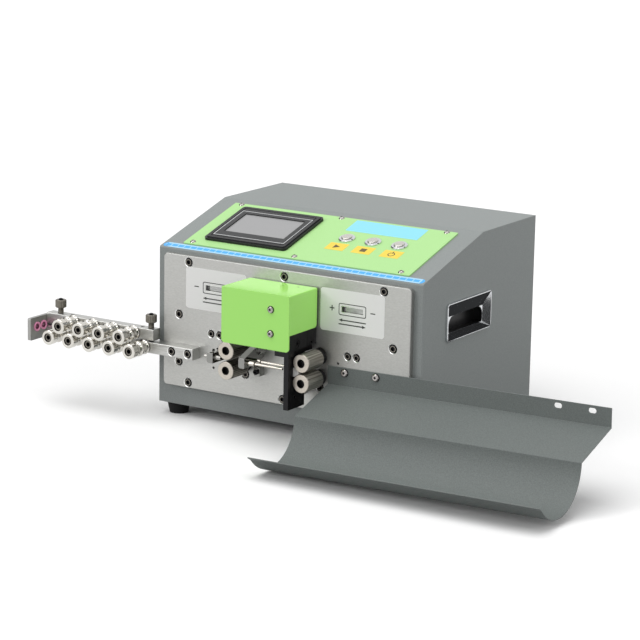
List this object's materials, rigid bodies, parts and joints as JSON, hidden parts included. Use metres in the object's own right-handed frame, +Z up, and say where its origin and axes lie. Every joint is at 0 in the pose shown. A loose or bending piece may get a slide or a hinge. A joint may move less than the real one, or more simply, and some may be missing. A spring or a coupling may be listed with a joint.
{
  "type": "wire cutting stripping machine",
  "caption": "Benchtop machine with a sloping console that straightens, feeds, cuts and strips wire, with a trough tray for the cut pieces.",
  "frame": {"origin": "bottom centre of the whole machine's bounding box, on the bench", "axes": "+X the way the wire travels, +Y from the front plate to the back, +Z up"},
  "size_m": [0.8438, 0.4906, 0.269],
  "materials": {
    "housing_paint": "fine-textured powder coat",
    "rubber": "matt",
    "chrome_plate": "polished",
    "plate_aluminium": "satin, bright machined edge",
    "bar_aluminium": "satin",
    "black_oxide_steel": "black oxide",
    "bright_screw": "nickel plated",
    "green_paint": "satin paint",
    "black_plastic": "matt moulding",
    "display_glass": "glossy sheet",
    "button_steel": "turned and plated",
    "pink_ceramic": "polished ceramic",
    "copper": "turned",
    "white_plastic": "machined",
    "tool_steel": "ground",
    "blade_steel": "ground",
    "roller_steel": "knurled and hardened",
    "nickel": "nickel plated",
    "motor_steel": "black laminated stack",
    "supply_case": "perforated case",
    "board_laminate": "solder mask"
  },
  "bodies": {
    "machine": {"housing_shell": "housing_paint", "base_pan": "housing_paint", "rear_panel": "housing_paint", "tray": "housing_paint", "rubber_feet": "rubber", "side_handles": "chrome_plate", "front_plate": "plate_aluminium", "socket_screws": "black_oxide_steel", "pan_screws": "bright_screw", "button_head_screws": "bright_screw", "control_panel": "green_paint", "head_cover": "green_paint", "screen_bezel": "black_plastic", "screen_display": "display_glass", "button_housings": "button_steel", "straightener_lower_bar": "bar_aluminium", "entry_plate": "bar_aluminium", "entry_eyelets": "pink_ceramic", "guide_blocks": "bar_aluminium", "input_nozzles": "copper", "blade_head_frame": "black_oxide_steel", "output_nozzle": "white_plastic", "feed_blocks": "bar_aluminium", "stepper_motors": "motor_steel", "power_supply": "supply_case", "control_board": "board_laminate", "mains_inlet": "black_plastic", "lower_roller_axles": "black_oxide_steel"},
    "swing_guide": {"swing_arm": "bar_aluminium", "swing_tubes": "bright_screw"},
    "input_block": {"input_bearing_block": "tool_steel"},
    "output_block": {"output_bearing_block": "tool_steel"},
    "input_lower_feed": {"input_lower_roller": "roller_steel"},
    "output_lower_feed": {"output_lower_roller": "roller_steel"},
    "input_upper_feed": {"input_upper_roller": "roller_steel"},
    "output_upper_feed": {"output_upper_roller": "roller_steel"},
    "pinion": {"blade_pinion": "tool_steel"},
    "upper_knife": {"upper_carriage": "tool_steel", "upper_blade": "blade_steel"},
    "lower_knife": {"lower_carriage": "tool_steel", "lower_blade": "blade_steel"},
    "upper_bar": {"straightener_upper_bar": "bar_aluminium", "upper_roller_axles": "black_oxide_steel"},
    "adjusting_left": {"adjusting_screw_left": "black_oxide_steel"},
    "adjusting_right": {"adjusting_screw_right": "black_oxide_steel"},
    "left_slider": {"pressure_slider_left": "black_oxide_steel"},
    "right_slider": {"pressure_slider_right": "black_oxide_steel"},
    "left_button": {"push_button_left": "button_steel"},
    "middle_button": {"push_button_middle": "button_steel"},
    "right_button": {"push_button_right": "button_steel"},
    "rocker": {"power_rocker": "black_plastic"},
    "lower_straight_1": {"lower_roller_1": "nickel"},
    "lower_straight_2": {"lower_roller_2": "nickel"},
    "lower_straight_3": {"lower_roller_3": "nickel"},
    "lower_straight_4": {"lower_roller_4": "nickel"},
    "lower_straight_5": {"lower_roller_5": "nickel"},
    "upper_straight_1": {"upper_roller_1": "nickel"},
    "upper_straight_2": {"upper_roller_2": "nickel"},
    "upper_straight_3": {"upper_roller_3": "nickel"},
    "upper_straight_4": {"upper_roller_4": "nickel"}
  },
  "joints": [
    {"name": "swing_pivot", "type": "hinge", "parent": "machine", "child": "swing_guide", "pos_m": [-0.0801, -0.0684, 0.115], "axis": [0, 1, 0], "range_deg": [0, 10], "stiffness_Nm_per_rad": 0.2, "springref_deg": -11.46},
    {"name": "input_block_slide", "type": "slide", "parent": "machine", "child": "input_block", "axis": [0, 0, 1], "range_m": [0, 0.003], "stiffness_N_per_m": 2000, "springref_m": -0.01},
    {"name": "input_lower_spin", "type": "hinge", "parent": "machine", "child": "input_lower_feed", "pos_m": [-0.10411, -0.0834, 0.08887], "axis": [0, 1, 0], "continuous": true},
    {"name": "input_upper_spin", "type": "hinge", "parent": "input_block", "child": "input_upper_feed", "pos_m": [-0.10411, -0.0834, 0.11513], "axis": [0, 1, 0], "continuous": true},
    {"name": "output_block_slide", "type": "slide", "parent": "machine", "child": "output_block", "axis": [0, 0, 1], "range_m": [0, 0.003], "stiffness_N_per_m": 2000, "springref_m": -0.01},
    {"name": "output_lower_spin", "type": "hinge", "parent": "machine", "child": "output_lower_feed", "pos_m": [0.01009, -0.0834, 0.08887], "axis": [0, 1, 0], "continuous": true},
    {"name": "output_upper_spin", "type": "hinge", "parent": "output_block", "child": "output_upper_feed", "pos_m": [0.01009, -0.0834, 0.11513], "axis": [0, 1, 0], "continuous": true},
    {"name": "pinion_turn", "type": "hinge", "parent": "machine", "child": "pinion", "pos_m": [-0.02371, -0.0674, 0.152], "axis": [0, 1, 0], "range_deg": [0, 51.56]},
    {"name": "upper_knife_slide", "type": "slide", "parent": "machine", "child": "upper_knife", "axis": [0, 0, -1], "range_m": [0, 0.009]},
    {"name": "lower_knife_slide", "type": "slide", "parent": "machine", "child": "lower_knife", "axis": [0, 0, 1], "range_m": [0, 0.009]},
    {"name": "adjusting_left_turn", "type": "hinge", "parent": "machine", "child": "adjusting_left", "pos_m": [-0.39791, -0.07015, 0.126], "axis": [0, 0, -1], "range_deg": [0, 1152]},
    {"name": "adjusting_right_turn", "type": "hinge", "parent": "machine", "child": "adjusting_right", "pos_m": [-0.24801, -0.07015, 0.126], "axis": [0, 0, -1], "range_deg": [0, 1152]},
    {"name": "upper_bar_lift", "type": "slide", "parent": "machine", "child": "upper_bar", "axis": [0, 0, 1], "range_m": [0, 0.004]},
    {"name": "lower_straight_1_spin", "type": "hinge", "parent": "machine", "child": "lower_straight_1", "pos_m": [-0.38631, -0.0964, 0.0934], "axis": [0, 1, 0], "continuous": true},
    {"name": "lower_straight_2_spin", "type": "hinge", "parent": "machine", "child": "lower_straight_2", "pos_m": [-0.35311, -0.0964, 0.0934], "axis": [0, 1, 0], "continuous": true},
    {"name": "lower_straight_3_spin", "type": "hinge", "parent": "machine", "child": "lower_straight_3", "pos_m": [-0.3199, -0.0964, 0.0934], "axis": [0, 1, 0], "continuous": true},
    {"name": "lower_straight_4_spin", "type": "hinge", "parent": "machine", "child": "lower_straight_4", "pos_m": [-0.2867, -0.0964, 0.0934], "axis": [0, 1, 0], "continuous": true},
    {"name": "lower_straight_5_spin", "type": "hinge", "parent": "machine", "child": "lower_straight_5", "pos_m": [-0.2535, -0.0964, 0.0934], "axis": [0, 1, 0], "continuous": true},
    {"name": "upper_straight_1_spin", "type": "hinge", "parent": "upper_bar", "child": "upper_straight_1", "pos_m": [-0.36971, -0.0964, 0.1106], "axis": [0, 1, 0], "continuous": true},
    {"name": "upper_straight_2_spin", "type": "hinge", "parent": "upper_bar", "child": "upper_straight_2", "pos_m": [-0.3365, -0.0964, 0.1106], "axis": [0, 1, 0], "continuous": true},
    {"name": "upper_straight_3_spin", "type": "hinge", "parent": "upper_bar", "child": "upper_straight_3", "pos_m": [-0.3033, -0.0964, 0.1106], "axis": [0, 1, 0], "continuous": true},
    {"name": "upper_straight_4_spin", "type": "hinge", "parent": "upper_bar", "child": "upper_straight_4", "pos_m": [-0.2701, -0.0964, 0.1106], "axis": [0, 1, 0], "continuous": true},
    {"name": "left_pressure_slide", "type": "slide", "parent": "machine", "child": "left_slider", "axis": [1, 0, 0], "range_m": [0, 0.026]},
    {"name": "right_pressure_slide", "type": "slide", "parent": "machine", "child": "right_slider", "axis": [1, 0, 0], "range_m": [0, 0.026]},
    {"name": "left_button_press", "type": "slide", "parent": "machine", "child": "left_button", "axis": [0, 0.2747, -0.9615], "range_m": [0, 0.002], "stiffness_N_per_m": 300, "springref_m": -0.002},
    {"name": "middle_button_press", "type": "slide", "parent": "machine", "child": "middle_button", "axis": [0, 0.2747, -0.9615], "range_m": [0, 0.002], "stiffness_N_per_m": 300, "springref_m": -0.002},
    {"name": "right_button_press", "type": "slide", "parent": "machine", "child": "right_button", "axis": [0, 0.2747, -0.9615], "range_m": [0, 0.002], "stiffness_N_per_m": 300, "springref_m": -0.002},
    {"name": "rocker_tilt", "type": "hinge", "parent": "machine", "child": "rocker", "pos_m": [-0.1947, 0.2376, 0.07869], "axis": [1, 0, 0], "range_deg": [0, 18]}
  ],
  "couplings": [
    {"joint": "input_upper_spin", "follows": "input_lower_spin", "ratio": -1},
    {"joint": "output_upper_spin", "follows": "output_lower_spin", "ratio": -1},
    {"joint": "pinion_turn", "follows": "upper_knife_slide", "rad_per_m": 100},
    {"joint": "lower_knife_slide", "follows": "upper_knife_slide", "ratio": 1},
    {"joint": "adjusting_left_turn", "follows": "upper_bar_lift", "rad_per_m": 5026.5},
    {"joint": "adjusting_right_turn", "follows": "upper_bar_lift", "rad_per_m": 5026.5}
  ]
}
